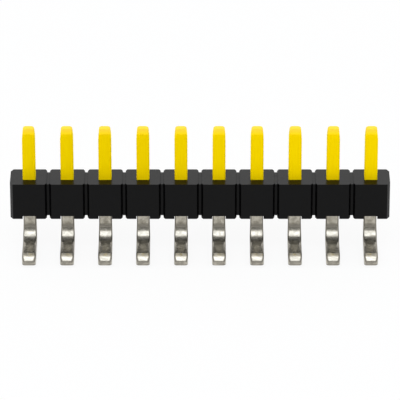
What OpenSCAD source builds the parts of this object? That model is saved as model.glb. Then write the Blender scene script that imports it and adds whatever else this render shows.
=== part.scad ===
// Surface-mount pin header strip: square wire contacts held in a row by one moulded insulator.
// The strip runs along X. The feet lie on z = 0 and point to -Y, and the posts stand along +Z.
// All sizes are in millimetres.

/* [Strip] */
// Number of contacts in the row
positions = 10; // [2:1:40]
// Distance from one contact to the next
pitch = 1.27; // [1.00:0.01:2.54]

/* [Insulator] */
// Depth of the insulator, front to back
body_d = 1.14; // [0.90:0.01:2.00]
// Height of the insulator
body_h = 1.29; // [0.90:0.01:3.00]
// Height of the underside above the board
stand_off = 1.27; // [1.00:0.01:3.00]
// Width of the bevel on the strip's four outer upright corners, seen from the front
corner_w = 0.09; // [0.03:0.01:0.15]
// Depth of the same bevel, seen from the end
corner_d = 0.15; // [0.05:0.01:0.25]

/* [Break grooves] */
// Width of a groove where it opens in the front or back face
groove_w = 0.21; // [0.16:0.01:0.32]
// Depth of a groove, which leaves a web between two segments
groove_d = 0.12; // [0.11:0.01:0.30]
// Width of a groove at the inner end of its flared lips
throat_w = 0.105; // [0.085:0.005:0.150]
// Depth of the flared lips
lip_d = 0.10; // [0.05:0.01:0.11]
// Width of a groove at its floor
floor_w = 0.08; // [0.040:0.005:0.100]
// Drop of a web below the top face
web_drop = 0.05; // [0.010:0.005:0.100]
// Rise of a web above the underside
web_rise = 0.08; // [0.010:0.005:0.100]

/* [Contact wire] */
// Width of the wire along the strip
wire_w = 0.43; // [0.30:0.01:0.50]
// Thickness of the wire, front to back
wire_t = 0.43; // [0.30:0.01:0.50]
// Radius of the wire's four long edges
edge_r = 0.05; // [0.020:0.005:0.080]

/* [Post] */
// Height of a post above the insulator
post_h = 1.85; // [1.00:0.01:6.00]
// Length of the coined taper on the left and right sides of a post's end
taper_l = 0.37; // [0.15:0.01:0.80]
// Narrowing of that taper on each side
taper_in = 0.035; // [0.010:0.005:0.040]
// Radius where that taper rounds into the flat top
nose_r = 0.06; // [0.03:0.01:0.08]
// Length of the bevels in front of and behind a post's end
ramp_l = 0.165; // [0.100:0.005:0.300]
// Depth of those bevels
ramp_in = 0.105; // [0.030:0.005:0.120]
// Radius where those bevels round into the flat top
ramp_r = 0.05; // [0.020:0.005:0.060]

/* [Tail] */
// Distance from the post's centre line to the end of the foot
foot_reach = 1.65; // [1.50:0.01:3.00]
// Inner radius of the bend between leg and foot
bend_r = 0.48; // [0.20:0.01:0.55]
// How far the bend and the foot are squeezed out on each side
squeeze = 0.012; // [0.002:0.002:0.030]
// Height over which the leg widens to the squeezed bend
flare_h = 0.08; // [0.04:0.01:0.15]
// Length of the gentle slope on top of the foot, before the bevel at its end
ease_l = 0.165; // [0.050:0.005:0.250]
// Drop of that slope
ease_h = 0.06; // [0.020:0.005:0.080]
// Height of the bevel over the end of the foot
toe_h = 0.115; // [0.050:0.005:0.130]
// Length of the bevels over and beside the end of the foot
toe_l = 0.10; // [0.050:0.005:0.250]
// Width of the bevels beside the end of the foot
toe_w = 0.025; // [0.010:0.005:0.050]
// Height that the underside rises to at the end of the foot
rise_h = 0.08; // [0.040:0.005:0.140]
// Length over which the underside rises
rise_l = 0.16; // [0.10:0.01:0.40]

/* [Seat of a contact] */
// Gap between a contact and the plastic on each side
seat_gap = 0.005; // [0.000:0.005:0.030]
// Height of the channel across the underside, below each contact
channel_h = 0.105; // [0.050:0.005:0.200]
// Gap between the leg and each side of the channel
channel_gap = 0.01; // [0.005:0.005:0.050]
// Height of a barb's lower end above the underside
barb_up = 0.42; // [0.30:0.01:0.45]
// Length of a barb along the wire
barb_l = 0.30; // [0.15:0.01:0.35]
// How far a barb stands out of the wire's side
barb_out = 0.03; // [0.010:0.005:0.050]

/* [Hidden] */
$fn = 48;
// Overlap that lets a cut pass right through a face
cut = 1;
row_y = (foot_reach - body_d / 2) / 2;
strip_l = positions * pitch;
top_z = stand_off + body_h;
tip_z = top_z + post_h;
barb_z = stand_off + barb_up;
plating_z = barb_z + barb_l;
bend_y = -wire_t / 2 - bend_r;
bend_z = wire_t + bend_r;
foot_w = wire_w + 2 * squeeze;

black_resin = [0.11, 0.11, 0.115];
gold_plate = [0.96, 0.83, 0.05];
tin_plate = [0.74, 0.72, 0.67];

function contact_x(i) = (i - (positions + 1) / 2) * pitch;
function groove_x(i) = contact_x(i) + pitch / 2;

// One break groove in a face whose outward direction is side, as points from left to right
function groove(x, side) =
    let (face = side * body_d / 2)
    [
        [x - groove_w / 2, face],
        [x - throat_w / 2, face - side * lip_d],
        [x - floor_w / 2, face - side * groove_d],
        [x + floor_w / 2, face - side * groove_d],
        [x + throat_w / 2, face - side * lip_d],
        [x + groove_w / 2, face]
    ];

function grooved_face(side) = [for (i = [1:positions - 1]) each groove(groove_x(i), side)];

function reversed(list) = [for (i = [len(list) - 1:-1:0]) list[i]];

// Plan of the insulator: bevelled corners and a groove in both faces at every break
module insulator_plan() {
    end = strip_l / 2;
    face = body_d / 2;
    polygon(concat(
        [[-end, -face + corner_d], [-end + corner_w, -face]],
        grooved_face(-1),
        [[end - corner_w, -face], [end, -face + corner_d]],
        [[end, face - corner_d], [end - corner_w, face]],
        reversed(grooved_face(1)),
        [[-end + corner_w, face], [-end, face - corner_d]]
    ));
}

// Sloped-side dip along a web, as deep as given, opening in the direction up (1) or down (-1)
module web_dip(depth, up) {
    rotate([90, 0, 0])
        linear_extrude(body_d, center = true)
            polygon([
                [-throat_w / 2, 0],
                [-floor_w / 2, -up * depth],
                [floor_w / 2, -up * depth],
                [throat_w / 2, 0],
                [throat_w / 2, up * cut],
                [-throat_w / 2, up * cut]
            ]);
}

// Side view of both barbs: they widen upwards and end in a square step
module barb_outline(grow) {
    half = wire_w / 2 + grow;
    polygon([
        [-half, -grow],
        [half, -grow],
        [half + barb_out, barb_l - barb_l / 4],
        [half + barb_out, barb_l + grow],
        [-half - barb_out, barb_l + grow],
        [-half - barb_out, barb_l - barb_l / 4]
    ]);
}

module barbs(grow) {
    translate([0, 0, barb_z])
        rotate([90, 0, 0])
            linear_extrude(wire_t - 2 * edge_r + 2 * grow, center = true)
                barb_outline(grow);
}

// Everything that one contact needs cut out of the insulator
module contact_seat() {
    translate([0, 0, top_z - body_h / 2])
        cube([wire_w + 2 * seat_gap, wire_t + 2 * seat_gap, body_h + cut], center = true);
    barbs(seat_gap);
    translate([0, 0, stand_off + channel_h / 2 - cut / 2])
        cube([wire_w + 2 * channel_gap, body_d + cut, channel_h + cut], center = true);
}

module insulator() {
    color(black_resin)
        translate([0, row_y, 0])
            difference() {
                translate([0, 0, stand_off])
                    linear_extrude(body_h)
                        insulator_plan();
                for (i = [1:positions])
                    translate([contact_x(i), 0, 0])
                        contact_seat();
                for (i = [1:positions - 1])
                    translate([groove_x(i), 0, 0]) {
                        translate([0, 0, top_z])
                            web_dip(web_drop, 1);
                        translate([0, 0, stand_off])
                            web_dip(web_rise, -1);
                    }
            }
}

// Section of the wire, with its long edges rounded
module wire_section(a, b) {
    square([a - 2 * edge_r, b], center = true);
    square([a, b - 2 * edge_r], center = true);
    for (u = [-1, 1], v = [-1, 1])
        translate([u * (a / 2 - edge_r), v * (b / 2 - edge_r)])
            circle(edge_r);
}

// Outline of a post's end in one side view: straight, then sloped, then rounded to a flat top
module post_outline(width, low, high, slope_l, slope_in, radius) {
    lean = atan(slope_in / slope_l);
    nose_z = high - radius;
    nose_x = width / 2 - (slope_l - radius) * tan(lean) - radius / cos(lean);
    side_x = nose_x + radius * cos(lean);
    side_z = nose_z + radius * sin(lean);
    polygon([
        [-width / 2, low],
        [width / 2, low],
        [width / 2, high - slope_l],
        [side_x, side_z],
        [nose_x, nose_z],
        [nose_x, high],
        [-nose_x, high],
        [-nose_x, nose_z],
        [-side_x, side_z],
        [-width / 2, high - slope_l]
    ]);
    for (u = [-1, 1])
        translate([u * nose_x, nose_z])
            circle(radius);
}

// Gold-plated upper half of a contact, from the plating line to the nose
module post() {
    intersection() {
        translate([0, 0, plating_z])
            linear_extrude(tip_z - plating_z)
                wire_section(wire_w, wire_t);
        rotate([90, 0, 0])
            linear_extrude(wire_t + cut, center = true)
                post_outline(wire_w, plating_z, tip_z, taper_l, taper_in, nose_r);
        rotate([90, 0, 90])
            linear_extrude(wire_w + cut, center = true)
                post_outline(wire_t, plating_z, tip_z, ramp_l, ramp_in, ramp_r);
    }
}

// Foot, sloped and then bevelled over its end, bevelled beside it, with an underside that rises there
module foot() {
    toe_y = -foot_reach + toe_l;
    intersection() {
        translate([0, bend_y, 0])
            rotate([90, 0, 0])
                linear_extrude(foot_reach + bend_y)
                    translate([0, wire_t / 2])
                        wire_section(foot_w, wire_t);
        rotate([90, 0, 90])
            linear_extrude(foot_w + cut, center = true)
                polygon([
                    [bend_y, 0],
                    [bend_y, wire_t],
                    [toe_y + ease_l, wire_t],
                    [toe_y, wire_t - ease_h],
                    [-foot_reach, wire_t - ease_h - toe_h],
                    [-foot_reach, rise_h],
                    [-foot_reach + rise_l, 0]
                ]);
        linear_extrude(wire_t)
            polygon([
                [-foot_w / 2, bend_y],
                [-foot_w / 2, toe_y],
                [-foot_w / 2 + toe_w, -foot_reach],
                [foot_w / 2 - toe_w, -foot_reach],
                [foot_w / 2, toe_y],
                [foot_w / 2, bend_y]
            ]);
    }
}

// Widening of the leg from the drawn wire to the squeezed bend
module flare() {
    intersection() {
        linear_extrude(flare_h)
            wire_section(foot_w, wire_t);
        rotate([90, 0, 0])
            linear_extrude(wire_t + cut, center = true)
                polygon([
                    [-foot_w / 2, 0],
                    [foot_w / 2, 0],
                    [wire_w / 2, flare_h],
                    [-wire_w / 2, flare_h]
                ]);
    }
}

// Tin-plated lower half of a contact: barbs and leg, the bend, and the foot that is soldered
module tail() {
    barbs(0);
    translate([0, 0, bend_z]) {
        linear_extrude(plating_z - bend_z)
            wire_section(wire_w, wire_t);
        flare();
    }
    translate([0, bend_y, bend_z])
        rotate([0, 90, 0])
            rotate_extrude(angle = 90)
                translate([bend_r + wire_t / 2, 0])
                    wire_section(wire_t, foot_w);
    foot();
}

// One contact, formed from a single length of wire
module contact(i) {
    translate([contact_x(i), row_y, 0]) {
        color(gold_plate) post();
        color(tin_plate) tail();
    }
}

insulator();
for (i = [1:positions])
    contact(i);
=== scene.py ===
"""Dresses a surface-mount pin header strip in its real finishes and sets up its studio.

The strip runs along X, its posts stand along +Z and its feet point to -Y. Everything is in metres.
"""

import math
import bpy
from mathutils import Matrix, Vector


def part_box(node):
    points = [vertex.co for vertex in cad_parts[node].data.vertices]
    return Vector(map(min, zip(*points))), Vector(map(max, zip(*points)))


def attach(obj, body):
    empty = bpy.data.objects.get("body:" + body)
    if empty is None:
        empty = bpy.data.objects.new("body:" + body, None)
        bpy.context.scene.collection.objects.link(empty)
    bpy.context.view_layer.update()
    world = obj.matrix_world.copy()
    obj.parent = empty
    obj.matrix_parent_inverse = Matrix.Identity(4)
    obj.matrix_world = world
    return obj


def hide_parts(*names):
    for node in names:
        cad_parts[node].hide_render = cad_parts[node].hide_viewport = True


bl_info = {
    "name": "Pin header strip",
    "version": (1, 0, 0),
    "blender": (4, 5, 0),
    "location": "3D Viewport > Sidebar > Header strip",
    "description": "Builds the contacts and the insulator of a pin header strip, with a studio",
    "category": "Object",
}

import bmesh
import bpy
from mathutils import Vector

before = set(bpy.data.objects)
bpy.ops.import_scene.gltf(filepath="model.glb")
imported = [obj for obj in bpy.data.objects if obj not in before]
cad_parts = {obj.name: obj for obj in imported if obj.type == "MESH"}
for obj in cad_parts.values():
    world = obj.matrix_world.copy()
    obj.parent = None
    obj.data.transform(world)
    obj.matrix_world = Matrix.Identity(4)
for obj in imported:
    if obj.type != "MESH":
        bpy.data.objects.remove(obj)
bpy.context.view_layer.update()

MM = 0.001
BODY = "root"
# Vertex layer with how far each point lies on a long edge, which the tin uses for painted shade
# along those edges
EDGE_SHADE_MASK = "long_edge"
# Rings and points that draw each rounding of the wire
CORNER_STEPS = 4
NOSE_STEPS = 6
TOE_STEPS = 18
BEND_STEPS = 28
# Place, width and height in metres, brightness of the face beside a white room, and colour
SOFTBOXES = {
    "front_softbox": ((0, -0.226, 0.311), (0.40, 0.242), 2.1, "front_lamp"),
    "back_softbox": ((0, 0.32, 0.17), (0.40, 0.20), 0.45, "lamp"),
    "overhead_softbox": ((0, 0, 0.40), (0.60, 0.24), 0.45, "lamp"),
}
# Point that every lamp is aimed at
STRIP_MIDDLE = (0, 0, 1.5 * MM)
# Nearest and farthest that the camera sees, in metres
CLIP = (0.01, 20)
# Rise of a step that is square on the real wire
STEP_GAP = 0.001 * MM
# How far each contact's pattern lies from the last one's, so that no two look alike
PATTERN_STEP = 7.3
CONTACTS = sorted(
    (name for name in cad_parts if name.startswith("contact_")),
    key=lambda name: int(name.rsplit("_", 1)[1]),
)


def srgb(code):
    """Linear colour of an sRGB hex code."""
    parts = [int(code[i:i + 2], 16) / 255 for i in (1, 3, 5)]
    return tuple(
        part / 12.92 if part <= 0.04045 else ((part + 0.055) / 1.055) ** 2.4 for part in parts
    )


def length(name, description, default_mm):
    """A length property whose default is given in millimetres."""
    return bpy.props.FloatProperty(
        name=name,
        description=description,
        default=default_mm * MM,
        min=0,
        precision=6,
        subtype="DISTANCE",
        unit="LENGTH",
    )


def colour(name, description, code):
    """A colour property whose default is an sRGB hex code."""
    return bpy.props.FloatVectorProperty(
        name=name,
        description=description,
        default=srgb(code),
        size=3,
        min=0,
        max=1,
        subtype="COLOR",
    )


def share(name, description, default):
    """A property from 0 to 1."""
    return bpy.props.FloatProperty(
        name=name, description=description, default=default, min=0, max=1, subtype="FACTOR"
    )


class HeaderWire(bpy.types.PropertyGroup):
    """Sizes of the formed wire that the frame's boxes don't give."""

    edge_r: length("Edge radius", "Radius of the wire's four long edges", 0.05)
    bend_r: length("Bend radius", "Inner radius of the bend between leg and foot", 0.48)
    squeeze: length("Squeeze", "How far bend and foot are squeezed out on each side", 0.016)
    flare_turn: bpy.props.FloatProperty(
        name="Flare angle",
        description="How far the wire has bent where it is squeezed out in full",
        default=math.radians(45),
        subtype="ANGLE",
        unit="ROTATION",
    )
    taper_l: length("Taper length", "Length of the taper on the sides of a post's end", 0.37)
    taper_in: length("Taper inset", "Narrowing of that taper on each side", 0.035)
    nose_r: length("Nose radius", "Radius where the taper rounds into the top", 0.085)
    ramp_l: length("Ramp length", "Length of the bevels in front of and behind a post's end", 0.165)
    ramp_in: length("Ramp depth", "Depth of those bevels", 0.105)
    ramp_r: length("Ramp radius", "Radius where those bevels round into the top", 0.05)
    ease_l: length("Toe slope length", "Length of the gentle slope before the toe bevel", 0.165)
    ease_h: length("Toe slope drop", "Drop of that slope", 0.06)
    toe_h: length("Toe bevel height", "Height of the bevel over the foot's end", 0.115)
    toe_l: length("Toe bevel length", "Length of the bevels over and beside the foot's end", 0.10)
    toe_w: length("Toe bevel width", "Width of the bevels beside the foot's end", 0.035)
    toe_soft: length("Toe rounding", "Length of the rounding where the toe's slopes begin", 0.06)
    rise_h: length("Toe rise", "Height that the underside rises to at the foot's end", 0.08)
    rise_l: length("Toe rise length", "Length over which the underside rises", 0.16)
    toe_edge_r: length("Toe edge radius", "Radius of the corners of the foot's end", 0.07)
    barb_up: length("Barb height", "Height of a barb's lower end above the underside", 0.42)
    barb_l: length("Barb length", "Length of a barb along the wire", 0.30)
    barb_out: length("Barb reach", "How far a barb stands out of the wire's side", 0.03)
    break_r: length("Edge break", "Width of the rounding on the coined edges", 0.012)


class HeaderResin(bpy.types.PropertyGroup):
    """Look of the moulded insulator."""

    black: colour("Resin", "Colour of the black glass-filled resin", "#050505")
    grey: colour("Fibre haze", "Colour where glass fibres lie near the skin", "#09090a")
    edge_r: length("Edge rounding", "Width of the rounding that the mould leaves on edges", 0.014)
    grain: length("Grain", "Spacing of the mould's spark-eroded grain", 0.035)


class HeaderPlating(bpy.types.PropertyGroup):
    """Look of the plated wire."""

    gold: colour("Gold", "Colour of the hard gold on the posts", "#ffef03")
    gold_deep: colour("Deep gold", "Colour of the thinner streaks in the gold", "#fbe801")
    # Painted highlight: the gold turns paler towards each post's nose
    gold_nose_highlight: colour("Nose highlight gold", "Colour of the painted highlight on a post's nose", "#ffe65c")
    nose_highlight_l: length("Nose highlight length", "Length over which the gold turns paler", 0.22)
    tin: colour("Tin", "Colour of the tin on the tails", "#c2bdb0")
    tin_dull: colour("Dull tin", "Colour of the duller patches in the tin", "#a39e92")
    # Painted shade: the tin darkens along the wire's long edges
    tin_edge_shade: colour("Shaded tin edge", "Colour of the painted shade on the wire's long edges", "#7c7870")
    draw_line: length("Draw lines", "Spacing of the lines that the drawing die leaves", 0.03)
    # Painted shade: a dark band on the leg just above the bend
    tin_shade_band: colour("Shade band on tin", "Colour of the painted shade band on the leg above the bend", "#7f7b72")
    shade_band_l: length("Shade band reach", "Reach of that mark up and down from its middle", 0.13)
    shade_band_drop: length("Shade band drop", "Drop of its middle below the start of the bend", 0.06)
    blotch: length("Blotches", "Size of the patches in the tin", 0.16)
    grain: length("Tin grain", "Size of the grains in the tin", 0.004)


class HeaderStudio(bpy.types.PropertyGroup):
    """Floor, lamps and camera."""

    paper: colour("Paper", "Colour of the paper sweep", "#f6f6f6")
    floor_w: length("Floor width", "Width of the paper sweep", 4000)
    glow: share("Clean background", "How far the paper reads as pure white to the camera", 0.9)
    card: colour("Flags", "Colour of the cards in front of the strip and behind it", "#707070")
    flag_y: length("Flag distance", "Distance of each card from the strip", 300)
    flag_w: length("Flag width", "Width of the cards", 320)
    front_flag_h: length("Front flag height", "Height of the card in front", 155)
    back_flag_h: length("Back flag height", "Height of the card behind", 80)
    room: share("Room light", "How bright the white room is as a light", 0.8)
    lamp: colour("Lamp", "Colour of the lamps behind and overhead", "#ffffff")
    front_lamp: colour("Front lamp", "Colour of the lamp in front, a little cooler", "#edf4ff")
    elevation: bpy.props.FloatProperty(
        name="Elevation",
        description="Camera height above the horizon",
        default=math.radians(27),
        subtype="ANGLE",
        unit="ROTATION",
    )
    distance: length("Camera distance", "Distance from the lens to the insulator", 140)
    view_w: length("Field width", "Width of the picture at the insulator's front face", 13.3684)
    aim_h: share("Aim height", "Share of the insulator's height that the camera looks at", 0.553)


def add_node(tree, kind, inputs=(), **settings):
    """Adds a node, gives it its settings, and gives each named input a value or a link."""
    node = tree.nodes.new(kind)
    for name, value in settings.items():
        setattr(node, name, value)
    for name, value in dict(inputs).items():
        socket = node.inputs[name]
        if isinstance(value, bpy.types.NodeSocket):
            tree.links.new(value, socket)
        else:
            socket.default_value = value
    return node


def new_material(name):
    """An empty node material with its output node."""
    material = bpy.data.materials.new(name)
    material.use_nodes = True
    material.node_tree.nodes.clear()
    return material, material.node_tree


def opaque(rgb):
    """A colour with full alpha."""
    return (*rgb, 1.0)


def moulded_resin(look):
    """Black glass-filled liquid-crystal polymer, injection moulded: a dense black with a fine
    spark-eroded grain, so it mirrors what stands on it only softly."""
    material, tree = new_material("glass_filled_resin_moulded")
    place = add_node(tree, "ShaderNodeTexCoord").outputs["Object"]
    grain = add_node(
        tree, "ShaderNodeTexNoise", {"Vector": place, "Scale": 1 / look.grain, "Detail": 3.0}
    )
    # Fibres gather in clouds a few grains wide
    clouds = add_node(
        tree, "ShaderNodeTexNoise", {"Vector": place, "Scale": 1 / (look.grain * 8), "Detail": 2.0}
    )
    tint = add_node(
        tree,
        "ShaderNodeMix",
        {0: clouds.outputs["Fac"], 6: opaque(look.black), 7: opaque(look.grey)},
        data_type="RGBA",
    )
    gloss = add_node(
        tree, "ShaderNodeMapRange", {"Value": clouds.outputs["Fac"], "To Min": 0.17, "To Max": 0.27}
    )
    bump = add_node(
        tree,
        "ShaderNodeBump",
        {"Height": grain.outputs["Fac"], "Strength": 0.25, "Distance": 0.0006 * MM},
    )
    skin = add_node(
        tree,
        "ShaderNodeBsdfPrincipled",
        {
            "Base Color": tint.outputs[2],
            "Roughness": gloss.outputs["Result"],
            "Normal": bump.outputs["Normal"],
            "IOR": 1.215,
        },
    )
    add_node(tree, "ShaderNodeOutputMaterial", {"Surface": skin.outputs["BSDF"]})
    return material


def wire_place(tree, across, along):
    """Texture place that follows the wire, with one unit for each length across and along it."""
    place = add_node(tree, "ShaderNodeTexCoord").outputs["UV"]
    scale = (MM / across, MM / along, 1.0)
    return add_node(tree, "ShaderNodeMapping", {"Vector": place, "Scale": scale}).outputs["Vector"]


def plated_gold(look, tip_z):
    """Hard gold electroplated over nickel on drawn wire: saturated yellow, satin, with faint
    lengthways lines that the drawing die left, and a painted highlight that turns it paler towards
    the nose."""
    material, tree = new_material("hard_gold_electroplated")
    line_l = 20 * look.draw_line
    lines = add_node(
        tree,
        "ShaderNodeTexNoise",
        {"Vector": wire_place(tree, look.draw_line, line_l), "Scale": 1.0, "Detail": 2.0},
    )
    tint = add_node(
        tree,
        "ShaderNodeMix",
        {0: lines.outputs["Fac"], 6: opaque(look.gold), 7: opaque(look.gold_deep)},
        data_type="RGBA",
    )
    place = add_node(tree, "ShaderNodeTexCoord").outputs["Object"]
    height = add_node(tree, "ShaderNodeSeparateXYZ", {"Vector": place}).outputs["Z"]
    # Painted highlight: the gold turns paler over the last stretch below the tip, standing in for
    # the whitish highlight there
    nose = add_node(
        tree,
        "ShaderNodeMapRange",
        {"Value": height, "From Min": tip_z - look.nose_highlight_l, "From Max": tip_z},
        interpolation_type="SMOOTHSTEP",
    )
    nose_highlighted = add_node(
        tree,
        "ShaderNodeMix",
        {0: nose.outputs["Result"], 6: tint.outputs[2], 7: opaque(look.gold_nose_highlight)},
        data_type="RGBA",
    )
    gloss = add_node(
        tree, "ShaderNodeMapRange", {"Value": lines.outputs["Fac"], "To Min": 0.90, "To Max": 1.0}
    )
    bump = add_node(
        tree,
        "ShaderNodeBump",
        {"Height": lines.outputs["Fac"], "Strength": 0.15, "Distance": 0.0005 * MM},
    )
    metal = add_node(
        tree,
        "ShaderNodeBsdfPrincipled",
        {
            "Base Color": nose_highlighted.outputs[2],
            "Metallic": 1.0,
            "Roughness": gloss.outputs["Result"],
            "Normal": bump.outputs["Normal"],
        },
    )
    add_node(tree, "ShaderNodeOutputMaterial", {"Surface": metal.outputs["BSDF"]})
    return material


def plated_tin(look, bend_z):
    """Tin electroplated on formed wire: warm grey and softly bright, with duller patches,
    lengthways lines that the forming tool stretched, painted shade along the long edges, and a
    band of painted shade on the leg where the bend starts."""
    material, tree = new_material("tin_electroplated")
    line_l = 12 * look.draw_line
    lines = add_node(
        tree,
        "ShaderNodeTexNoise",
        {"Vector": wire_place(tree, look.draw_line, line_l), "Scale": 1.0, "Detail": 3.0},
    )
    patches = add_node(
        tree,
        "ShaderNodeTexNoise",
        {"Vector": wire_place(tree, look.blotch, look.blotch), "Scale": 1.0, "Detail": 4.0},
    )
    # The patches run into each other only at their rims
    dulled = add_node(
        tree,
        "ShaderNodeMapRange",
        {"Value": patches.outputs["Fac"], "From Min": 0.38, "From Max": 0.62},
    )
    tint = add_node(
        tree,
        "ShaderNodeMix",
        {0: dulled.outputs["Result"], 6: opaque(look.tin), 7: opaque(look.tin_dull)},
        data_type="RGBA",
    )
    # Painted shade: the tin turns darker on the wire's long edges, in place of the dark
    # surroundings that those edges mirror
    edge = add_node(tree, "ShaderNodeAttribute", attribute_name=EDGE_SHADE_MASK).outputs["Fac"]
    edge_shaded = add_node(
        tree,
        "ShaderNodeMix",
        {0: edge, 6: tint.outputs[2], 7: opaque(look.tin_edge_shade)},
        data_type="RGBA",
    )
    # The patches give the band of painted shade an uneven rim
    place = add_node(tree, "ShaderNodeTexCoord").outputs["Object"]
    height = add_node(tree, "ShaderNodeSeparateXYZ", {"Vector": place}).outputs["Z"]
    middle = bend_z - look.shade_band_drop
    offset = add_node(tree, "ShaderNodeMath", {0: height, 1: middle}, operation="SUBTRACT")
    away = add_node(tree, "ShaderNodeMath", {0: offset.outputs[0]}, operation="ABSOLUTE")
    uneven = add_node(
        tree,
        "ShaderNodeMath",
        {0: patches.outputs["Fac"], 1: look.shade_band_l, 2: away.outputs[0]},
        operation="MULTIPLY_ADD",
    )
    # Painted shade: the tin darkens in a band on the leg just above the bend, standing in for the
    # dark that the leg mirrors there
    band_shade_amount = add_node(
        tree,
        "ShaderNodeMapRange",
        {
            "Value": uneven.outputs[0],
            "From Min": 0.4 * look.shade_band_l,
            "From Max": 1.4 * look.shade_band_l,
            "To Min": 1.0,
            "To Max": 0.0,
        },
        interpolation_type="SMOOTHSTEP",
    )
    band_shaded = add_node(
        tree,
        "ShaderNodeMix",
        {0: band_shade_amount.outputs["Result"], 6: edge_shaded.outputs[2], 7: opaque(look.tin_shade_band)},
        data_type="RGBA",
    )
    # Smooth grains beside matt ones, each too small to be seen by itself
    grains = add_node(
        tree,
        "ShaderNodeTexNoise",
        {"Vector": wire_place(tree, look.grain, look.grain), "Scale": 1.0, "Detail": 0.0},
    )
    gloss = add_node(
        tree,
        "ShaderNodeMapRange",
        {
            "Value": grains.outputs["Fac"],
            "From Min": 0.35,
            "From Max": 0.65,
            "To Min": 0.12,
            "To Max": 0.50,
        },
    )
    bump = add_node(
        tree,
        "ShaderNodeBump",
        {"Height": lines.outputs["Fac"], "Strength": 0.15, "Distance": 0.0005 * MM},
    )
    metal = add_node(
        tree,
        "ShaderNodeBsdfPrincipled",
        {
            "Base Color": band_shaded.outputs[2],
            "Metallic": 1.0,
            "Roughness": gloss.outputs["Result"],
            "Normal": bump.outputs["Normal"],
        },
    )
    add_node(tree, "ShaderNodeOutputMaterial", {"Surface": metal.outputs["BSDF"]})
    return material


def paper_sweep(look):
    """Matt white paper, lit evenly: it reads as white and keeps the strip's soft shadow."""
    material, tree = new_material("white_paper_sweep")
    paper = add_node(tree, "ShaderNodeBsdfDiffuse", {"Color": opaque(look.paper)})
    clean = add_node(tree, "ShaderNodeEmission", {"Color": (1, 1, 1, 1), "Strength": 0.99})
    seen = seen_rays(tree)
    part = add_node(tree, "ShaderNodeMath", {0: seen, 1: look.glow}, operation="MULTIPLY")
    both = add_node(
        tree,
        "ShaderNodeMixShader",
        {0: part.outputs[0], 1: paper.outputs["BSDF"], 2: clean.outputs["Emission"]},
    )
    add_node(tree, "ShaderNodeOutputMaterial", {"Surface": both.outputs["Shader"]})
    return material


def matt_card(name, look):
    """Matt grey card, which draws a darker line on bright metal that mirrors it."""
    material, tree = new_material(f"matt_card_{name}")
    card = add_node(tree, "ShaderNodeBsdfDiffuse", {"Color": opaque(look.card)})
    add_node(tree, "ShaderNodeOutputMaterial", {"Surface": card.outputs["BSDF"]})
    return material


def seen_rays(tree):
    """1 on rays that the camera sees, mirrored or through glass too, and 0 on lighting rays."""
    path = add_node(tree, "ShaderNodeLightPath")
    mirrored = add_node(
        tree,
        "ShaderNodeMath",
        {0: path.outputs["Is Glossy Ray"], 1: path.outputs["Is Transmission Ray"]},
        operation="MAXIMUM",
    )
    seen = add_node(
        tree,
        "ShaderNodeMath",
        {0: path.outputs["Is Camera Ray"], 1: mirrored.outputs[0]},
        operation="MAXIMUM",
    )
    return seen.outputs[0]


def rounded_slope(depth, slope_l, slope_in, radius):
    """Inset of a slope at some depth below the flat top that it rounds into."""
    lean = math.atan(slope_in / slope_l)
    if depth >= radius * (1 - math.sin(lean)):
        return max(0.0, (slope_l - depth) * math.tan(lean))
    centre = (slope_l - radius) * math.tan(lean) + radius / math.cos(lean)
    return centre - math.sqrt(radius ** 2 - (radius - depth) ** 2)


def soft_slope(left, slope_l, grade, soft):
    """Inset of a slope where left is the distance to the end, with a rounded start."""
    past = slope_l - left
    if past <= -soft / 2:
        return 0.0
    if past < soft / 2:
        past = (past + soft / 2) ** 2 / (2 * soft)
    return past * grade


def wire_ring(half_w, half_t, radius, barb=0.0):
    """Rounded section of the wire, anticlockwise, with its flat sides pushed out by barb. The
    third number of each point is how far it lies on a long edge."""
    inner_w, inner_t = half_w - radius, half_t - radius
    barb_t = inner_t - STEP_GAP
    ring = []
    for side_w, side_t, start in ((1, -1, -90), (1, 1, 0), (-1, 1, 90), (-1, -1, 180)):
        for step in range(CORNER_STEPS + 1):
            turn = math.radians(start + 90 * step / CORNER_STEPS)
            across = side_w * inner_w + radius * math.cos(turn)
            through = side_t * inner_t + radius * math.sin(turn)
            ring.append((across, through, math.sin(math.pi * step / CORNER_STEPS)))
        if side_w * side_t < 0:
            reach = side_w * (half_w + barb)
            ring += [(reach, -side_w * barb_t, 0.0), (reach, side_w * barb_t, 0.0)]
    return ring


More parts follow.
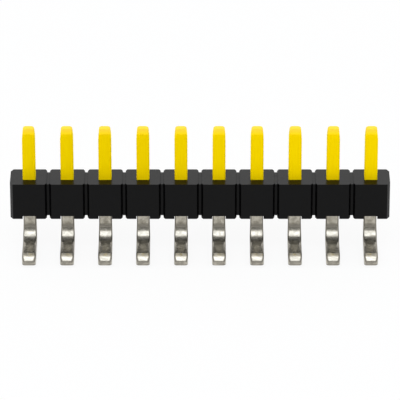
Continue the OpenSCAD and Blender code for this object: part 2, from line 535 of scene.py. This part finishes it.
class WirePath:
    """Stations along one contact, from the nose of the post to the end of the foot."""

    def __init__(self, wire, node):
        low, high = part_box(node)
        shell_low, shell_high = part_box("insulator")
        self.wire = wire
        self.x = (low.x + high.x) / 2
        self.y = (shell_low.y + shell_high.y) / 2
        self.top = high.z
        self.barb_z = shell_low.z + wire.barb_up
        self.half_w = (high.x - low.x) / 2 - wire.barb_out
        self.half_t = high.y - self.y
        self.reach = self.y - low.y
        self.bend_z = wire.bend_r + 2 * self.half_t
        self.stations = []

    def add(self, y, z, turn, inset=(0.0, 0.0), radius=None, barb=0.0):
        """One station: its centre, how far the wire has turned there, and its section."""
        self.stations.append(
            {
                "centre": Vector((self.x, self.y + y, z)),
                "outward": Vector((0, math.cos(turn), -math.sin(turn))),
                "half": (self.half_w - inset[0], self.half_t - inset[1]),
                "radius": self.wire.edge_r if radius is None else radius,
                "barb": barb,
            }
        )

    def post(self):
        """Coined end: a slight taper at the sides, steep bevels in front and behind."""
        wire = self.wire
        depths = {wire.taper_l, wire.ramp_l}
        for step in range(NOSE_STEPS + 1):
            turn = math.pi / 2 * step / NOSE_STEPS
            depths |= {radius * (1 - math.cos(turn)) for radius in (wire.nose_r, wire.ramp_r)}
            depths.add(wire.ramp_l * step / NOSE_STEPS)
        for depth in sorted(depths):
            side = rounded_slope(depth, wire.taper_l, wire.taper_in, wire.nose_r)
            front = rounded_slope(depth, wire.ramp_l, wire.ramp_in, wire.ramp_r)
            self.add(0, self.top - depth, 0, (side, front))

    def barbs(self):
        """Square step, then a flank that runs out downwards."""
        wire = self.wire
        high = self.barb_z + wire.barb_l
        self.add(0, high + STEP_GAP, 0)
        self.add(0, high, 0, barb=wire.barb_out)
        self.add(0, high - wire.barb_l / 4, 0, barb=wire.barb_out)
        self.add(0, self.barb_z, 0)

    def bend(self):
        """Quarter turn from the leg to the foot, in which the wire is squeezed wider."""
        wire = self.wire
        arm = wire.bend_r + self.half_t
        for step in range(BEND_STEPS + 1):
            turn = math.pi / 2 * step / BEND_STEPS
            y, z = arm * math.cos(turn) - arm, self.bend_z - arm * math.sin(turn)
            self.add(y, z, turn, (-wire.squeeze * min(1.0, turn / wire.flare_turn), 0))

    def toe(self):
        """Foot's end: sloped, then bevelled above, bevelled beside, with a rising underside."""
        wire, soft = self.wire, self.wire.toe_soft
        ease, bevel = wire.ease_h / wire.ease_l, wire.toe_h / wire.toe_l
        span = wire.toe_l + wire.ease_l + soft / 2
        for step in range(TOE_STEPS + 1):
            left = span * (1 - step / TOE_STEPS)
            top = soft_slope(left, wire.toe_l + wire.ease_l, ease, soft)
            top += soft_slope(left, wire.toe_l, bevel - ease, soft)
            side = soft_slope(left, wire.toe_l, wire.toe_w / wire.toe_l, soft)
            under = soft_slope(left, wire.rise_l, wire.rise_h / wire.rise_l, soft)
            radius = wire.edge_r + (wire.toe_edge_r - wire.edge_r) * step / TOE_STEPS
            z = self.half_t + (under - top) / 2
            inset = (side - wire.squeeze, (under + top) / 2)
            self.add(-self.reach + left, z, math.pi / 2, inset, radius)

    def rings(self):
        """Points of every ring, with how far along the wire each lies."""
        self.post()
        self.barbs()
        self.bend()
        self.toe()
        travelled, last, rings = 0.0, None, []
        for station in self.stations:
            if last is not None:
                travelled += (station["centre"] - last["centre"]).length
            last = station
            ring = []
            for p, q, edge in wire_ring(*station["half"], station["radius"], station["barb"]):
                point = station["centre"] + Vector((p, 0, 0)) + station["outward"] * q
                ring.append((point, edge))
            rings.append((travelled, ring))
        return rings


def contact_mesh(name, rings, plating_z, offset):
    """One closed skin over the rings, gold above the plating line and tin below it. The UV map
    runs in millimetres round and along the wire, so that its lines follow the bend."""
    mesh = bpy.data.meshes.new(name)
    bm = bmesh.new()
    uv = bm.loops.layers.uv.new("along_the_wire")
    mask = bm.verts.layers.float.new(EDGE_SHADE_MASK)
    rows = []
    for _, ring in rings:
        row = []
        for point, edge in ring:
            row.append(bm.verts.new(point))
            row[-1][mask] = edge
        rows.append(row)
    count = len(rows[0])
    for (near, _), (far, _), upper, lower in zip(rings, rings[1:], rows, rows[1:]):
        around = 0.0
        for k in range(count):
            n = (k + 1) % count
            width = (upper[n].co - upper[k].co).length
            face = bm.faces.new((upper[k], lower[k], lower[n], upper[n]))
            face.material_index = 0 if face.calc_center_median().z > plating_z else 1
            corners = ((around, near), (around, far), (around + width, far), (around + width, near))
            for loop, (u, v) in zip(face.loops, corners):
                loop[uv].uv = (u / MM + offset, v / MM + offset)
            around += width
    caps = [bm.faces.new(rows[0]), bm.faces.new(reversed(rows[-1]))]
    caps[1].material_index = 1
    for face in caps:
        for loop in face.loops:
            loop[uv].uv = (loop.vert.co.x / MM + offset, (loop.vert.co.y + loop.vert.co.z) / MM)
    bmesh.ops.recalc_face_normals(bm, faces=bm.faces)
    for face in bm.faces:
        face.smooth = True
    bm.to_mesh(mesh)
    bm.free()
    return mesh


def soften(piece, width, angle):
    """Rounds the edges sharper than angle and keeps flat faces flat."""
    bevel = piece.modifiers.new("edge_rounding", "BEVEL")
    bevel.width = width
    bevel.segments = 3
    bevel.limit_method = "ANGLE"
    bevel.angle_limit = angle
    normals = piece.modifiers.new("flat_faces", "WEIGHTED_NORMAL")
    normals.weight = 90
    normals.keep_sharp = True


class HEADER_OT_insulator(bpy.types.Operator):
    """Gives the moulded insulator its resin and its rounded edges"""

    bl_idname = "header.insulator"
    bl_label = "Insulator"

    def execute(self, context):
        look = context.scene.header_resin
        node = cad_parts["insulator"]
        node.data.materials.clear()
        node.data.materials.append(moulded_resin(look))
        merge = node.modifiers.new("whole_faces", "DECIMATE")
        merge.decimate_type = "DISSOLVE"
        merge.angle_limit = math.radians(1)
        soften(node, look.edge_r, math.radians(25))
        return {"FINISHED"}


class HEADER_OT_contacts(bpy.types.Operator):
    """Forms every contact from one length of plated wire"""

    bl_idname = "header.contacts"
    bl_label = "Contacts"

    def execute(self, context):
        wire = context.scene.header_wire
        look = context.scene.header_plating
        first = WirePath(wire, CONTACTS[0])
        gold, tin = plated_gold(look, first.top), plated_tin(look, first.bend_z)
        for index, node in enumerate(CONTACTS):
            path = WirePath(wire, node)
            plating_z = path.barb_z + wire.barb_l
            mesh = contact_mesh(f"{node}_formed", path.rings(), plating_z, PATTERN_STEP * index)
            mesh.materials.append(gold)
            mesh.materials.append(tin)
            piece = bpy.data.objects.new(f"{node}_formed", mesh)
            context.collection.objects.link(piece)
            soften(piece, wire.break_r, math.radians(30))
            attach(piece, BODY)
            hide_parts(node)
        return {"FINISHED"}


def aim(item, target):
    """Turns a lamp or camera to look at a point."""
    item.rotation_euler = (Vector(target) - item.location).to_track_quat("-Z", "Y").to_euler()


def softbox(name, place, size, radiance, tint):
    """Area lamp of the given width and height whose face has the given brightness."""
    data = bpy.data.lights.new(name, "AREA")
    data.color = tint
    data.shape = "RECTANGLE"
    data.size, data.size_y = size
    data.energy = radiance * math.pi * size[0] * size[1]
    lamp = bpy.data.objects.new(name, data)
    bpy.context.collection.objects.link(lamp)
    lamp.location = place
    aim(lamp, STRIP_MIDDLE)


class HEADER_OT_studio(bpy.types.Operator):
    """Lays out the paper sweep, the lamps and the camera"""

    bl_idname = "header.studio"
    bl_label = "Studio"

    def execute(self, context):
        look = context.scene.header_studio
        self.paper(context, look)
        self.sky(context, look)
        for name, (place, size, radiance, tint) in SOFTBOXES.items():
            softbox(name, place, size, radiance, getattr(look, tint))
        self.flag(context, look, "front_flag", -look.flag_y, look.front_flag_h)
        self.flag(context, look, "back_flag", look.flag_y, look.back_flag_h)
        self.camera(context, look)
        context.scene.view_settings.view_transform = "Standard"
        return {"FINISHED"}

    def paper(self, context, look):
        half = look.floor_w / 2
        mesh = bpy.data.meshes.new("paper_sweep")
        corners = [(-half, -half, 0), (half, -half, 0), (half, half, 0), (-half, half, 0)]
        mesh.from_pydata(corners, [], [(0, 1, 2, 3)])
        mesh.materials.append(paper_sweep(look))
        floor = bpy.data.objects.new("paper_sweep", mesh)
        context.collection.objects.link(floor)
        floor.location.z = -0.01 * MM

    def flag(self, context, look, name, y, height):
        """A grey card on edge, out of the picture, that the metal mirrors as a darker line."""
        half = look.flag_w / 2
        mesh = bpy.data.meshes.new(name)
        corners = [(-half, y, 0), (half, y, 0), (half, y, height), (-half, y, height)]
        mesh.from_pydata(corners, [], [(0, 1, 2, 3)])
        mesh.materials.append(matt_card(name, look))
        card = bpy.data.objects.new(name, mesh)
        context.collection.objects.link(card)
        card.visible_camera = False

    def sky(self, context, look):
        """White all round to the eye, a little lower as a light."""
        world = bpy.data.worlds.new("white_studio")
        world.use_nodes = True
        tree = world.node_tree
        tree.nodes.clear()
        strength = add_node(
            tree, "ShaderNodeMapRange", {"Value": seen_rays(tree), "To Min": look.room}
        )
        light = add_node(
            tree,
            "ShaderNodeBackground",
            {"Color": (1, 1, 1, 1), "Strength": strength.outputs["Result"]},
        )
        add_node(tree, "ShaderNodeOutputWorld", {"Surface": light.outputs["Background"]})
        context.scene.world = world

    def camera(self, context, look):
        """A long lens in front of the strip and above it, aimed at the insulator's front face."""
        low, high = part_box("insulator")
        target = Vector((0, low.y, low.z + look.aim_h * (high.z - low.z)))
        back = Vector((0, -math.cos(look.elevation), math.sin(look.elevation)))
        data = bpy.data.cameras.new("front_camera")
        data.lens = data.sensor_width * look.distance / look.view_w
        data.clip_start, data.clip_end = CLIP
        camera = bpy.data.objects.new("front_camera", data)
        context.collection.objects.link(camera)
        camera.location = target + back * look.distance
        aim(camera, target)
        context.scene.camera = camera


class HEADER_PT_panel(bpy.types.Panel):
    """Lists the pieces of the strip and its studio"""

    bl_label = "Header strip"
    bl_idname = "HEADER_PT_panel"
    bl_space_type = "VIEW_3D"
    bl_region_type = "UI"
    bl_category = "Header strip"

    def draw(self, context):
        for operator in OPERATORS:
            self.layout.operator(operator.bl_idname)
        for name in GROUPS:
            group = getattr(context.scene, name)
            column = self.layout.column()
            for key in group.__annotations__:
                column.prop(group, key)


OPERATORS = (HEADER_OT_insulator, HEADER_OT_contacts, HEADER_OT_studio)
GROUPS = {
    "header_wire": HeaderWire,
    "header_resin": HeaderResin,
    "header_plating": HeaderPlating,
    "header_studio": HeaderStudio,
}


def register():
    for item in (*GROUPS.values(), *OPERATORS, HEADER_PT_panel):
        bpy.utils.register_class(item)
    for name, group in GROUPS.items():
        setattr(bpy.types.Scene, name, bpy.props.PointerProperty(type=group))


def unregister():
    for name in GROUPS:
        delattr(bpy.types.Scene, name)
    for item in reversed((*GROUPS.values(), *OPERATORS, HEADER_PT_panel)):
        bpy.utils.unregister_class(item)


def main():
    register()
    bpy.ops.header.insulator()
    bpy.ops.header.contacts()
    bpy.ops.header.studio()


if __name__ == "__main__":
    main()
